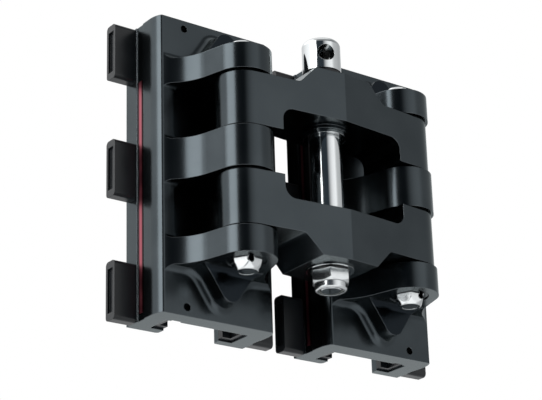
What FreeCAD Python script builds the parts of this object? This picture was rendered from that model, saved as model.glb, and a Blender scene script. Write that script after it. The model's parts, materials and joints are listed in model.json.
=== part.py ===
import FreeCAD, Part
import math
import os

import Sketcher

# A twin batten car: two tall track cars hinged to a pair of link plates that carry one batten pin.
# X runs across the mast, +Y points at the mast, Z runs up the two tracks. The origin is the middle
# of the footprint, level with the lower ends of the cars. Sizes are in millimetres.

os.makedirs("parts", exist_ok=True)
doc = FreeCAD.newDocument("batten_car")

# Driving dimensions
SIZES = {
    "car_height": 170.0,
    "car_width": 74.0,
    "car_depth": 32.0,
    "face_width": 69.0,
    "shoulder_depth": 8.0,
    "corner_round": 1.5,
    "plate_thickness": 11.0,
    "channel_width": 52.0,
    "lip_gap": 35.0,
    "lip_thickness": 5.5,
    "lip_round": 2.0,
    "hinge_spacing": 109.0,
    "hinge_forward": 25.6,
    "barrel_radius": 16.2,
    "flank_lean": 16.0,
    "foot_start": 18.0,
    "middle_arm_height": 23.4,
    "end_arm_height": 14.8,
    "knuckle_height": 30.4,
    "knuckle_radius": 14.7,
    "washer_gap": 1.1,
    "slot_root_round": 2.5,
    "slot_pocket_width": 54.6,
    "slot_pocket_depth": 5.0,
    "slot_pocket_round": 6.0,
    "gusset_foot": 3.5,
    "gusset_foot_round": 10.8,
    "gusset_shoulder": 3.8,
    "gusset_shoulder_round": 9.0,
    "gusset_reach": 23.0,
    "gusset_cove": 4.3,
    "gusset_land": 11.5,
    "gusset_land_cove": 4.0,
    "spotface_radius": 10.5,
    "spotface_depth": 0.5,
    "groove_front": 15.0,
    "groove_width": 6.6,
    "groove_depth": 0.6,
    "stripe_width": 4.2,
    "stripe_thickness": 0.35,
    "stripe_foot": 4.0,
    "stripe_length": 132.5,
    "end_hole_radius": 2.15,
    "end_hole_offset": 20.0,
    "end_hole_height": 5.0,
    "end_screw_radius": 2.11,
    "end_screw_length": 6.0,
    "end_screw_inset": 3.0,
    "end_screw_socket": 0.8,
    "end_notch_width": 6.0,
    "end_notch_depth": 1.2,
    "end_notch_height": 11.0,
    "link_ridge": 19.9,
    "link_boss_height": 10.8,
    "link_boss_top": 36.0,
    "link_boss_foot": 57.0,
    "link_boss_round": 4.0,
    "window_half_height": 25.6,
    "window_width": 80.0,
    "window_round": 6.5,
    "ring_boss_radius": 13.0,
    "ring_boss_height": 2.0,
    "pin_radius": 9.15,
    "pin_head_radius": 10.8,
    "pin_collar_radius": 10.3,
    "pin_collar_height": 5.0,
    "pin_head_height": 19.2,
    "pin_head_round": 3.2,
    "pin_hole_radius": 4.85,
    "pin_hole_height": 9.2,
    "pin_hole_turn": 22.0,
    "pin_thread_radius": 6.0,
    "bush_wall": 1.8,
    "bush_flange_radius": 11.8,
    "bush_flange_height": 1.9,
    "running_clearance": 0.06,
    "seat_clearance": 0.04,
    "thrust_washer_radius": 13.0,
    "thrust_washer_height": 1.9,
    "tail_washer_height": 0.7,
    "tail_collar_height": 0.7,
    "locknut_flats": 19.0,
    "locknut_hex_height": 6.6,
    "locknut_height": 10.4,
    "locknut_crown_radius": 8.8,
    "locknut_crown_round": 1.2,
    "locknut_lip_radius": 6.7,
    "locknut_turn": 53.5,
    "bolt_radius": 4.0,
    "nut_flats": 15.1,
    "nut_end_flats": 12.6,
    "nut_cone_reach": 3.4,
    "nut_cone_height": 6.0,
    "bolt_head_height": 6.4,
    "bolt_end_radius": 5.95,
    "bolt_turn": 4.0,
    "wire_hole_radius": 1.75,
    "wire_hole_drop": 0.8,
    "wire_hole_turn": 18.0,
    "knuckle_bush_radius": 6.5,
    "shoe_reach": 13.5,
    "shoe_width": 8.6,
    "shoe_height": 32.5,
    "shoe_set_back": 1.4,
    "shoe_round": 2.2,
    "shoe_recess_width": 5.2,
    "shoe_recess_border": 4.0,
    "shoe_recess_depth": 1.4,
    "shoe_tenon_depth": 5.5,
    "shoe_tenon_width": 5.6,
    "shoe_tenon_border": 5.0,
    "liner_thickness": 3.4,
    "liner_lip_thickness": 4.0,
    "liner_set_back": 1.0,
}

sheet = doc.addObject("Spreadsheet::Sheet", "Dims")
for row, (alias, number) in enumerate(SIZES.items(), start=1):
    sheet.set("A%d" % row, alias)
    sheet.set("B%d" % row, str(number))
    sheet.setAlias("B%d" % row, alias)
doc.recompute()


class Size:
    """A length or angle that keeps the formula it came from."""

    def __init__(self, value, formula):
        self.value = value
        self.formula = formula

    @staticmethod
    def of(other):
        return other if isinstance(other, Size) else Size(float(other), "%.6f" % other)

    def joined(self, other, mark, value):
        return Size(value, "(%s %s %s)" % (self.formula, mark, other.formula))

    def __add__(self, other):
        other = Size.of(other)
        return self.joined(other, "+", self.value + other.value)

    def __sub__(self, other):
        other = Size.of(other)
        return self.joined(other, "-", self.value - other.value)

    def __mul__(self, other):
        other = Size.of(other)
        return self.joined(other, "*", self.value * other.value)

    def __truediv__(self, other):
        other = Size.of(other)
        return self.joined(other, "/", self.value / other.value)

    def __radd__(self, other):
        return Size.of(other) + self

    def __rsub__(self, other):
        return Size.of(other) - self

    def __rmul__(self, other):
        return Size.of(other) * self

    def __neg__(self):
        return self * -1


dim = {alias: Size(float(sheet.get(alias)), "Dims." + alias) for alias in SIZES}

# Places that follow from the driving dimensions
half_width = dim["car_width"] / 2
half_face = dim["face_width"] / 2
half_channel = dim["channel_width"] / 2
half_lip_gap = dim["lip_gap"] / 2
lip_inside = dim["car_depth"] - dim["lip_thickness"]
hinge_x = -dim["hinge_spacing"] / 2
face_y = (dim["hinge_forward"] + dim["link_ridge"] - dim["car_depth"]) / 2
pin_y = face_y - dim["hinge_forward"]
middle = dim["car_height"] / 2
middle_arm_top = middle + dim["middle_arm_height"] / 2
knuckle_foot = middle_arm_top + dim["washer_gap"]
knuckle_top = knuckle_foot + dim["knuckle_height"]
end_arm_foot = knuckle_top + dim["washer_gap"]
end_arm_top = end_arm_foot + dim["end_arm_height"]
low_arm_foot = dim["car_height"] - end_arm_top
boss_top = knuckle_top + dim["link_boss_height"]
boss_foot = dim["car_height"] - boss_top
window_top = middle + dim["window_half_height"]
slot_height = dim["knuckle_height"] + dim["washer_gap"] * 2
FAR = 60.0


# Helpers
def bind(thing, **sizes):
    """Ties each property of an object to the sizes it follows."""
    for name, size in sizes.items():
        size = Size.of(size)
        prop = name.replace("_", ".") if "_" in name else name
        thing.setExpression(prop, size.formula)
    return thing


def place(thing, x=0.0, y=0.0, z=0.0, turn=None):
    """Puts an object at a place given by sizes, with an optional turn first."""
    if turn is not None:
        thing.Placement = FreeCAD.Placement(FreeCAD.Vector(), turn)
    for axis, size in zip("xyz", (x, y, z)):
        thing.setExpression("Placement.Base." + axis, Size.of(size).formula)
    return thing


def about(x, y, z, degrees):
    return FreeCAD.Rotation(FreeCAD.Vector(x, y, z), degrees)


def make(kind, name, **sizes):
    return bind(doc.addObject(kind, name), **sizes)


def block(name, low, high):
    """A box between two corners given by sizes."""
    spans = [Size.of(b) - Size.of(a) for a, b in zip(low, high)]
    thing = make("Part::Box", name, Length=spans[0], Width=spans[1], Height=spans[2])
    return place(thing, *low)


def rod(name, radius, low, high, x, y):
    """An upright cylinder from one height to another."""
    thing = make("Part::Cylinder", name, Radius=radius, Height=Size.of(high) - Size.of(low))
    return place(thing, x, y, low)


def joined(name, pieces):
    fuse = doc.addObject("Part::MultiFuse", name)
    fuse.Shapes = pieces
    return fuse


def cut(name, base, tools):
    """The base with each tool taken away."""
    tool = tools[0] if len(tools) == 1 else joined(name + "_tools", tools)
    thing = doc.addObject("Part::Cut", name)
    thing.Base = base
    thing.Tool = tool
    return thing


def shared(name, first, second):
    thing = doc.addObject("Part::Common", name)
    thing.Base = first
    thing.Tool = second
    return thing


def mirrored(name, source, normal, base=(0.0, 0.0, 0.0)):
    thing = doc.addObject("Part::Mirroring", name)
    thing.Source = source
    thing.Normal = FreeCAD.Vector(*normal)
    thing.Base = FreeCAD.Vector(*base)
    return thing


def vector(point):
    return FreeCAD.Vector(Size.of(point[0]).value, Size.of(point[1]).value, 0)


def arc_through(start, middle_point, end):
    """An arc through three points, and whether it runs clockwise from start to end."""
    a, b, c = vector(start), vector(middle_point), vector(end)
    clockwise = (b - a).cross(c - b).z < 0
    centre = Part.Circle(a, b, c).Center
    turns = [math.atan2(p.y - centre.y, p.x - centre.x) for p in (a, c)]
    if clockwise:
        turns.reverse()
    if turns[1] < turns[0]:
        turns[1] += 2 * math.pi
    ring = Part.Circle(centre, FreeCAD.Vector(0, 0, 1), (a - centre).Length)
    return Part.ArcOfCircle(ring, turns[0], turns[1]), clockwise


def outline(sketch, steps):
    """Draws a closed outline. A step is an end point, or a middle point and an end point for an
    arc. Each coordinate that follows a size is held there by a dimension."""
    start = steps[-1][-1]
    first = sketch.GeometryCount
    flips = []
    for step in steps:
        end = step[-1]
        if len(step) == 1:
            edge, clockwise = Part.LineSegment(vector(start), vector(end)), False
        else:
            edge, clockwise = arc_through(start, step[0], end)
        sketch.addGeometry(edge, False)
        flips.append(clockwise)
        start = end
    count = len(steps)
    for index, step in enumerate(steps):
        after = (index + 1) % count
        tail = 1 if flips[index] else 2
        head = 2 if flips[after] else 1
        corner = (first + index, tail)
        rule = Sketcher.Constraint("Coincident", *corner, first + after, head)
        sketch.addConstraint(rule)
        for kind, size in zip(("DistanceX", "DistanceY"), step[-1]):
            if isinstance(size, Size) and abs(size.value) > 1e-6:
                rule = Sketcher.Constraint(kind, -1, 1, *corner, size.value)
                number = sketch.addConstraint(rule)
                sketch.setExpression("Constraints[%d]" % number, size.formula)
    return sketch


def drawing(name, steps):
    return outline(doc.addObject("Sketcher::SketchObject", name), steps)


def extruded(name, sketch, length):
    thing = doc.addObject("Part::Extrusion", name)
    thing.Base = sketch
    thing.DirMode = "Normal"
    thing.Solid = True
    return bind(thing, LengthFwd=length)


def turned(name, steps, x, y):
    """A solid of revolution about an upright axis, from half its section."""
    sketch = drawing(name + "_section", steps)
    place(sketch, x, y, 0.0, about(1, 0, 0, 90))
    thing = doc.addObject("Part::Revolution", name)
    thing.Source = sketch
    thing.Axis = FreeCAD.Vector(0, 0, 1)
    thing.Angle = 360.0
    thing.Solid = True
    for axis, size in zip("xyz", (x, y, 0.0)):
        thing.setExpression("Base." + axis, Size.of(size).formula)
    return thing


def hexagon(name, corners, low, high, x, y, turn):
    """An upright hexagonal bar, measured across its corners."""
    thing = make("Part::Prism", name, Circumradius=corners / 2, Height=Size.of(high) - Size.of(low))
    thing.Polygon = 6
    return place(thing, x, y, low, about(0, 0, 1, turn.value))


def cross_hole(name, radius, x, y, z, turn):
    """A level drill through an upright axis, turned from the front by an angle."""
    reach = 30.0
    thing = make("Part::Cylinder", name, Radius=radius, Height=reach * 2)
    lean = math.radians(turn.value)
    spin = about(0, 0, 1, -turn.value).multiply(about(1, 0, 0, 90))
    return place(thing, x - reach * math.sin(lean) * -1, y + reach * math.cos(lean), z, spin)


# The plan of a car: a channel for the track with a bell-shaped hinge arm on its front
def arc_between(start, end, centre):
    """The middle of the short arc from start to end about a centre."""
    radius = math.dist(start, centre)
    mid = ((start[0] + end[0]) / 2 - centre[0], (start[1] + end[1]) / 2 - centre[1])
    scale = radius / math.hypot(*mid)
    return (centre[0] + mid[0] * scale, centre[1] + mid[1] * scale)


lean = math.radians(dim["flank_lean"].value)
barrel = dim["barrel_radius"].value
axis_y = -dim["hinge_forward"].value
flank_top = (-barrel * math.cos(lean), axis_y - barrel * math.sin(lean))
flank_run = (-dim["foot_start"].value - flank_top[1]) / math.cos(lean)
flank_foot = (flank_top[0] - flank_run * math.sin(lean), -dim["foot_start"].value)
corner = dim["corner_round"].value
shoulder_step = (half_width - half_face).value
shoulder_radius = (dim["shoulder_depth"].value ** 2 + shoulder_step**2) / (2 * shoulder_step)
shoulder_centre = (shoulder_radius - half_width.value, dim["shoulder_depth"].value)
corner_drop = corner - shoulder_centre[1]
corner_run = math.sqrt((shoulder_radius - corner) ** 2 - corner_drop**2)
face_edge = (shoulder_centre[0] - corner_run, 0.0)
corner_centre = (face_edge[0], corner)
corner_turn = shoulder_radius / (shoulder_radius - corner)
shoulder_edge = (
    shoulder_centre[0] - corner_run * corner_turn,
    shoulder_centre[1] + corner_drop * corner_turn,
)
foot_step = (face_edge[0] - flank_foot[0], face_edge[1] - flank_foot[1])
foot_normal = (-math.cos(lean), -math.sin(lean))
foot_radius = math.hypot(*foot_step) ** 2 / 2
foot_radius /= foot_step[0] * foot_normal[0] + foot_step[1] * foot_normal[1]
foot_centre = tuple(p + foot_radius * n for p, n in zip(flank_foot, foot_normal))
foot_middle = arc_between(flank_foot, face_edge, foot_centre)
shoulder_start = (-half_width.value, dim["shoulder_depth"].value)
shoulder_middle = arc_between(shoulder_start, shoulder_edge, shoulder_centre)
corner_middle = arc_between(shoulder_edge, face_edge, corner_centre)
lip_round = dim["lip_round"]
lip_turn = lip_round.value * (1 - math.sqrt(0.5))


def across(point):
    """The same point on the other side of the car's middle plane."""
    return (-point[0], point[1])


def arm_depth(x):
    """How far the hinge arm stands out from the plain face at a distance from its middle."""
    x = abs(x)
    if x <= -flank_top[0]:
        return -axis_y + math.sqrt(barrel**2 - x**2)
    if x <= -flank_foot[0]:
        return -flank_top[1] - (x + flank_top[0]) / math.tan(lean)
    return -foot_centre[1] - math.sqrt(max(foot_radius**2 - (x + foot_centre[0]) ** 2, 0.0))


left_half = [
    [shoulder_middle, shoulder_edge],
    [corner_middle, face_edge],
    [foot_middle, flank_foot],
    [flank_top],
]
lip_mid = (half_lip_gap.value + lip_turn, dim["car_depth"].value - lip_turn)
car_plan = left_half + [
    [(0.0, axis_y - barrel), across(flank_top)],
    [across(flank_foot)],
    [across(foot_middle), across(face_edge)],
    [across(corner_middle), across(shoulder_edge)],
    [across(shoulder_middle), (half_width, dim["shoulder_depth"])],
    [(half_width, dim["car_depth"])],
    [(half_lip_gap + lip_round, dim["car_depth"])],
    [lip_mid, (half_lip_gap, dim["car_depth"] - lip_round)],
    [(half_lip_gap, lip_inside)],
    [(half_channel, lip_inside)],
    [(half_channel, dim["plate_thickness"])],
    [(-half_channel, dim["plate_thickness"])],
    [(-half_channel, lip_inside)],
    [(-half_lip_gap, lip_inside)],
    [(-half_lip_gap, dim["car_depth"] - lip_round)],
    [across(lip_mid), (-half_lip_gap - lip_round, dim["car_depth"])],
    [(-half_width, dim["car_depth"])],
    [(-half_width, dim["shoulder_depth"])],
]


# The gusset below the lowest arm: a rounded tongue with a flat front and a cove at its foot
def tongue_plan():
    """The front view of what stays above the tongue's edge, as far as the arm and beyond."""
    cove = dim["gusset_cove"].value
    small = dim["gusset_foot_round"].value
    big = dim["gusset_shoulder_round"].value
    reach = dim["gusset_reach"].value
    shelf = low_arm_foot.value - dim["gusset_shoulder"].value
    c1 = (0.0, dim["gusset_foot"].value + small)
    c2 = (reach, shelf - big)
    gap = math.dist(c1, c2)
    tilt = math.atan2(c2[1] - c1[1], c2[0] - c1[0]) - math.acos((small + big) / gap)
    r1 = small - cove
    r2 = big + cove
    t1 = (c1[0] + r1 * math.cos(tilt), c1[1] + r1 * math.sin(tilt))
    t2 = (c2[0] - r2 * math.cos(tilt), c2[1] - r2 * math.sin(tilt))
    end = (reach, c2[1] + r2)
    middle_point = arc_between(t2, end, c2)
    wide = FAR + 1.0
    top = low_arm_foot.value + FAR
    return [
        [(-end[0], end[1])],
        [across(middle_point), across(t2)],
        [across(t1)],
        [(0.0, c1[1] - r1), t1],
        [t2],
        [middle_point, end],
        [(wide, end[1])],
        [(wide, top)],
        [(-wide, top)],
        [(-wide, end[1])],
    ]


def rounded_tool(name, base, edges, radius):
    """Rounds some of the edges of a cutting tool, so that it leaves a cove of that radius."""
    fillet = doc.addObject("Part::Fillet", name)
    fillet.Base = base
    fillet.Edges = [(number, radius.value, radius.value) for number in edges]
    return fillet


def end_relief():
    """What is milled off the front of a car below its lowest arm."""
    low = (hinge_x - FAR, face_y - FAR, -1.0)
    tall = block("face_tool_block", low, (hinge_x + FAR, face_y, low_arm_foot + FAR / 2))
    plan = drawing("tongue_plan", tongue_plan())
    place(plan, hinge_x, face_y + 1.0, 0.0, about(1, 0, 0, 90))
    tongue = extruded("tongue", plan, Size.of(FAR + 2.0))
    around = cut("face_tool", tall, [tongue])
    doc.recompute()
    level = face_y.value
    foot = [
        number
        for number, edge in enumerate(around.Shape.Edges, start=1)
        if all(abs(v.Y - level) < 1e-6 for v in edge.Vertexes)
        and 0.0 < edge.CenterOfMass.z < low_arm_foot.value + 5.0
        and edge.BoundBox.XLength > 1.0
    ]
    coved = rounded_tool("face_tool_coved", around, foot, dim["gusset_cove"])
    slab = block("end_relief_slab", low, (hinge_x + FAR, face_y + 1.0, low_arm_foot))
    face = shared("end_relief_face", coved, slab)
    land_y = face_y - dim["gusset_land"]
    front = block("land_tool_block", low, (hinge_x + FAR, land_y, low_arm_foot))
    doc.recompute()
    back = [
        number
        for number, edge in enumerate(front.Shape.Edges, start=1)
        if edge.Length > FAR * 1.9
        and edge.CenterOfMass.y > land_y.value - 0.1
        and edge.CenterOfMass.z > 0.0
    ]
    land = rounded_tool("land_tool", front, back, dim["gusset_land_cove"])
    seat_top = low_arm_foot + dim["spotface_depth"]
    seat = rod("nut_seat", dim["spotface_radius"], 0.0, seat_top, hinge_x, pin_y)
    return joined("end_relief", [face, land, seat])


def knuckle_slot():
    """The slot between two arms, with a rounded root and a deeper pocket behind it."""
    low = (hinge_x - FAR, face_y - FAR, middle_arm_top)
    root = block("slot_block", low, (hinge_x + FAR, face_y, middle_arm_top + slot_height))
    doc.recompute()
    back = [
        number
        for number, edge in enumerate(root.Shape.Edges, start=1)
        if edge.Length > FAR * 1.9 and edge.CenterOfMass.y > face_y.value - 0.1
    ]
    way = rounded_tool("slot_root", root, back, dim["slot_root_round"])
    end = slot_height / 2
    half = dim["slot_pocket_width"] / 2
    r = dim["slot_pocket_round"]
    c = r.value * (1 - math.sqrt(0.5))
    pocket_plan = [
        [(half - r, end)],
        [(half.value - c, end.value - c), (half, end - r)],
        [(half, r - end)],
        [(half.value - c, c - end.value), (half - r, -end)],
        [(r - half, -end)],
        [(c - half.value, c - end.value), (-half, r - end)],
        [(-half, end - r)],
        [(c - half.value, end.value - c), (r - half, end)],
    ]
    sketch = drawing("slot_pocket_plan", pocket_plan)
    back_y = face_y + dim["slot_pocket_depth"]
    place(sketch, hinge_x, back_y, middle_arm_top + end, about(1, 0, 0, 90))
    pocket = extruded("slot_pocket", sketch, dim["slot_pocket_depth"] + 1.0)
    return joined("knuckle_slot", [way, pocket])


def flipped(name, source):
    """The same form seen from the other end of the car."""
    return mirrored(name, source, (0, 0, 1), (0, 0, middle.value))


def end_hole(name, height, notch_low, notch_high):
    """A tapped hole near the outer corner of the face, with a notch behind it for its nut."""
    x = hinge_x - dim["end_hole_offset"]
    drill = make("Part::Cylinder", name + "_drill", Radius=dim["end_hole_radius"], Height=FAR)
    place(drill, x, face_y + FAR / 3, height, about(1, 0, 0, 90))
    back = face_y + dim["plate_thickness"]
    half = dim["end_notch_width"] / 2
    notch = block(
        name + "_notch",
        (x - half, back - dim["end_notch_depth"], notch_low),
        (x + half, back + 1.0, notch_high),
    )
    return [drill, notch]


def shoe_levels():
    top = dim["car_height"] - dim["shoe_height"]
    return [("low", Size.of(0.0)), ("middle", top / 2), ("high", top)]


shoe_middle = face_y + dim["car_depth"] - dim["shoe_set_back"] - dim["shoe_width"] / 2


def make_car():
    plan = drawing("car_plan", car_plan)
    place(plan, hinge_x, face_y, 0.0)
    bar = extruded("car_bar", plan, dim["car_height"])
    relief = end_relief()
    slot = knuckle_slot()
    tools = [relief, flipped("end_relief_high", relief), slot, flipped("knuckle_slot_low", slot)]
    bore = dim["bolt_radius"] + dim["seat_clearance"]
    tools.append(rod("hinge_bore", bore, 0.0, dim["car_height"], hinge_x, pin_y))
    high = dim["car_height"]
    notch = dim["end_notch_height"]
    tools += end_hole("low_end_hole", dim["end_hole_height"], -1.0, notch)
    tools += end_hole("high_end_hole", high - dim["end_hole_height"], high - notch, high + 1.0)
    for side, word in ((-1, "outer"), (1, "inner")):
        wall = hinge_x + side * half_width
        groove_y = face_y + dim["groove_front"]
        inside = wall - side * dim["groove_depth"]
        low_x, high_x = (wall - 5.0, inside) if side < 0 else (inside, wall + 5.0)
        groove_back = groove_y + dim["groove_width"]
        groove = block(word + "_groove", (low_x, groove_y, -1.0), (high_x, groove_back, high + 1.0))
        tools.append(groove)
        tenon = wall - side * dim["shoe_tenon_depth"]
        low_x, high_x = (wall - 5.0, tenon) if side < 0 else (tenon, wall + 5.0)
        half = dim["shoe_tenon_width"] / 2
        border = dim["shoe_tenon_border"]
        for level, foot in shoe_levels():
            tools.append(
                block(
                    "%s_%s_shoe_pocket" % (word, level),
                    (low_x, shoe_middle - half, foot + border),
                    (high_x, shoe_middle + half, foot + dim["shoe_height"] - border),
                )
            )
    return cut("left_car_body", bar, tools)


def make_shoe(name, side, foot):
    """A moulded slide shoe: a rounded block with a recess outside and a tenon in the wall."""
    wall = hinge_x + side * half_width
    w = dim["shoe_width"] / 2
    h = dim["shoe_height"]
    r = dim["shoe_round"]
    c = r.value * (1 - math.sqrt(0.5))
    face = [
        [(w - r, 0.0)],
        [(w.value - c, c), (w, r)],
        [(w, h - r)],
        [(w.value - c, h.value - c), (w - r, h)],
        [(r - w, h)],
        [(c - w.value, h.value - c), (-w, h - r)],
        [(-w, r)],
        [(c - w.value, c), (r - w, 0.0)],
    ]
    sketch = drawing(name + "_face", face)
    turn = about(0, 0, 1, 90).multiply(about(1, 0, 0, 90))
    start = wall - dim["shoe_reach"] if side < 0 else wall
    place(sketch, start, shoe_middle, foot, turn)
    body = extruded(name + "_body", sketch, dim["shoe_reach"])
    half = dim["shoe_tenon_width"] / 2
    border = dim["shoe_tenon_border"]
    tenon_end = wall - side * dim["shoe_tenon_depth"]
    low_x, high_x = (wall - 0.5, tenon_end) if side < 0 else (tenon_end, wall + 0.5)
    tenon = block(
        name + "_tenon",
        (low_x, shoe_middle - half, foot + border),
        (high_x, shoe_middle + half, foot + h - border),
    )
    outside = wall + side * dim["shoe_reach"]
    floor = outside - side * dim["shoe_recess_depth"]
    low_x, high_x = (outside - 1.0, floor) if side < 0 else (floor, outside + 1.0)
    half = dim["shoe_recess_width"] / 2
    border = dim["shoe_recess_border"]
    recess = block(
        name + "_recess",
        (low_x, shoe_middle - half, foot + border),
        (high_x, shoe_middle + half, foot + h - border),
    )
    return cut(name, joined(name + "_solid", [body, tenon]), [recess])


def make_liner(name, side):
    """An L-shaped plastic strip that lines the wall and lip of the track channel."""
    t = dim["liner_thickness"]
    inner = half_channel - t
    lip = lip_inside - dim["liner_lip_thickness"]
    section = [
        (half_channel, dim["plate_thickness"]),
        (half_channel, lip_inside),
        (half_lip_gap, lip_inside),
        (half_lip_gap, lip),
        (inner, lip),
        (inner, dim["plate_thickness"]),
    ]
    sketch = drawing(name + "_section", [[(side * x, y)] for x, y in section])
    place(sketch, hinge_x, face_y, dim["liner_set_back"])
    return extruded(name, sketch, dim["car_height"] - dim["liner_set_back"] * 2)


def make_stripe(name, side):
    """The coloured line laid in the side groove."""
    floor = hinge_x + side * (half_width - dim["groove_depth"])
    top = floor + side * dim["stripe_thickness"]
    low_x, high_x = (top, floor) if side < 0 else (floor, top)
    centre = face_y + dim["groove_front"] + dim["groove_width"] / 2
    half = dim["stripe_width"] / 2
    foot = dim["stripe_foot"]
    return block(
        name, (low_x, centre - half, foot), (high_x, centre + half, foot + dim["stripe_length"])
    )


def tapered_hexagon(name, foot, seat):
    """A hexagonal nut that narrows from its seat to its end, where a cone rounds the corners off."""
    rings = []
    for word, apothem, level in (("seat", "nut_flats", seat), ("end", "nut_end_flats", foot)):
        ring = doc.addObject("Part::RegularPolygon", "%s_%s" % (name, word))
        ring.Polygon = 6
        bind(ring, Circumradius=dim[apothem] / (2 * math.cos(math.pi / 6)))
        place(ring, hinge_x, pin_y, level, about(0, 0, 1, dim["bolt_turn"].value))
        rings.append(ring)
    bar = doc.addObject("Part::Loft", name + "_bar")
    bar.Sections = rings
    bar.Solid = True
    bar.Ruled = True
    zero = Size.of(0.0)
    end = dim["bolt_end_radius"]
    wide = end + dim["nut_cone_reach"]
    step = (seat - foot) / abs((seat - foot).value)
    cone = [
        [(end, foot)],
        [(wide, foot + step * dim["nut_cone_height"])],
        [(wide, seat)],
        [(zero, seat)],
        [(zero, foot)],
    ]
    return shared(name + "_form", bar, turned(name + "_cone", cone, hinge_x, pin_y))


def make_hinge_bolt():
    """The hinge bolt, with its head on the highest arm."""
    seat = end_arm_top - dim["spotface_depth"]
    head = tapered_hexagon("bolt_head", seat + dim["bolt_head_height"], seat)
    low_end = low_arm_foot + dim["spotface_depth"] - dim["bolt_head_height"] + 0.1
    shank = rod("bolt_shank", dim["bolt_radius"], low_end, seat + 1.0, hinge_x, pin_y)
    return joined("left_hinge_bolt", [head, shank])


def make_hinge_nut():
    """The hinge nut under the lowest arm, cross-drilled for locking wire."""
    seat = low_arm_foot + dim["spotface_depth"]
    foot = seat - dim["bolt_head_height"]
    form = tapered_hexagon("hinge_nut", foot, seat)
    bore = dim["bolt_radius"] + dim["seat_clearance"]
    drill = rod("hinge_nut_bore", bore, foot - 1.0, seat + 1.0, hinge_x, pin_y)
    hole_z = seat - dim["wire_hole_drop"] - dim["spotface_depth"]
    radius, turn = dim["wire_hole_radius"], dim["wire_hole_turn"]
    wire = cross_hole("wire_hole", radius, hinge_x, pin_y, hole_z, turn)
    core = rod("wire_hole_stop", dim["bolt_radius"] + 0.4, 0.0, middle, hinge_x, pin_y)
    return cut("left_hinge_nut", form, [drill, cut("wire_hole_way", wire, [core])])


def make_end_screws():
    """The two socket grub screws in the tapped holes near the outer corners of the face."""
    screws = []
    x = hinge_x - dim["end_hole_offset"]
    low = dim["end_hole_height"]
    for word, level in (("low", low), ("high", dim["car_height"] - low)):
        tools = []
        sizes = (
            ("thread", dim["end_screw_radius"], dim["end_screw_inset"], dim["end_screw_length"]),
            ("socket", dim["end_screw_socket"], dim["end_screw_inset"] - 1.0, Size.of(2.2)),
        )
        for piece, radius, inset, length in sizes:
            rod_name = "%s_screw_%s" % (word, piece)
            tool = make("Part::Cylinder", rod_name, Radius=radius, Height=length)
            place(tool, x, face_y + inset + length, level, about(1, 0, 0, 90))
            tools.append(tool)
        screws.append(cut(word + "_screw", tools[0], tools[1:]))
    group = doc.addObject("Part::Compound", "left_end_screws")
    group.Links = screws
    return group


def make_hinge_washers():
    """The four thin thrust washers between the arms and the knuckles."""
    gap = dim["washer_gap"]
    slack = dim["seat_clearance"]
    bore = dim["bolt_radius"] + dim["running_clearance"]
    feet = [middle_arm_top, knuckle_top]
    feet += [dim["car_height"] - foot - gap for foot in feet]
    rings = []
    for number, foot in enumerate(feet, start=1):
        low, high = foot + slack, foot + gap - slack
        disc = rod("thrust_disc_%d" % number, dim["thrust_washer_radius"], low, high, hinge_x, pin_y)
        hole = rod("thrust_hole_%d" % number, bore, low - 1.0, high + 1.0, hinge_x, pin_y)
        rings.append(cut("thrust_ring_%d" % number, disc, [hole]))
    group = doc.addObject("Part::Compound", "left_hinge_washers")
    group.Links = rings
    return group


# The link plates
def link_plan():
    """The lens-shaped plan of a link plate: two knuckles joined by straight flanks to a ridge."""
    reach = dim["hinge_spacing"] / 2
    ridge = dim["link_ridge"]
    r = dim["knuckle_radius"].value
    run = math.hypot(reach.value, ridge.value)
    bend = math.atan2(ridge.value, reach.value) - (math.pi / 2 - math.acos(r / run))
    angle = math.pi / 2 - bend
    touch = (reach.value + r * math.cos(angle), r * math.sin(angle))
    return [
        [(Size.of(0.0), ridge)],
        [touch],
        [(reach.value + r, 0.0), (touch[0], -touch[1])],
        [(Size.of(0.0), -ridge)],
        [(-touch[0], -touch[1])],
        [(-reach.value - r, 0.0), (-touch[0], touch[1])],
    ]


def body_sketch(body, name, role):
    """A sketch on one of a body's own base planes."""
    sketch = body.newObject("Sketcher::SketchObject", name)
    plane = next(f for f in body.Origin.OriginFeatures if f.Role == role)
    sketch.AttachmentSupport = [(plane, "")]
    sketch.MapMode = "FlatFace"
    return sketch


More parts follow.
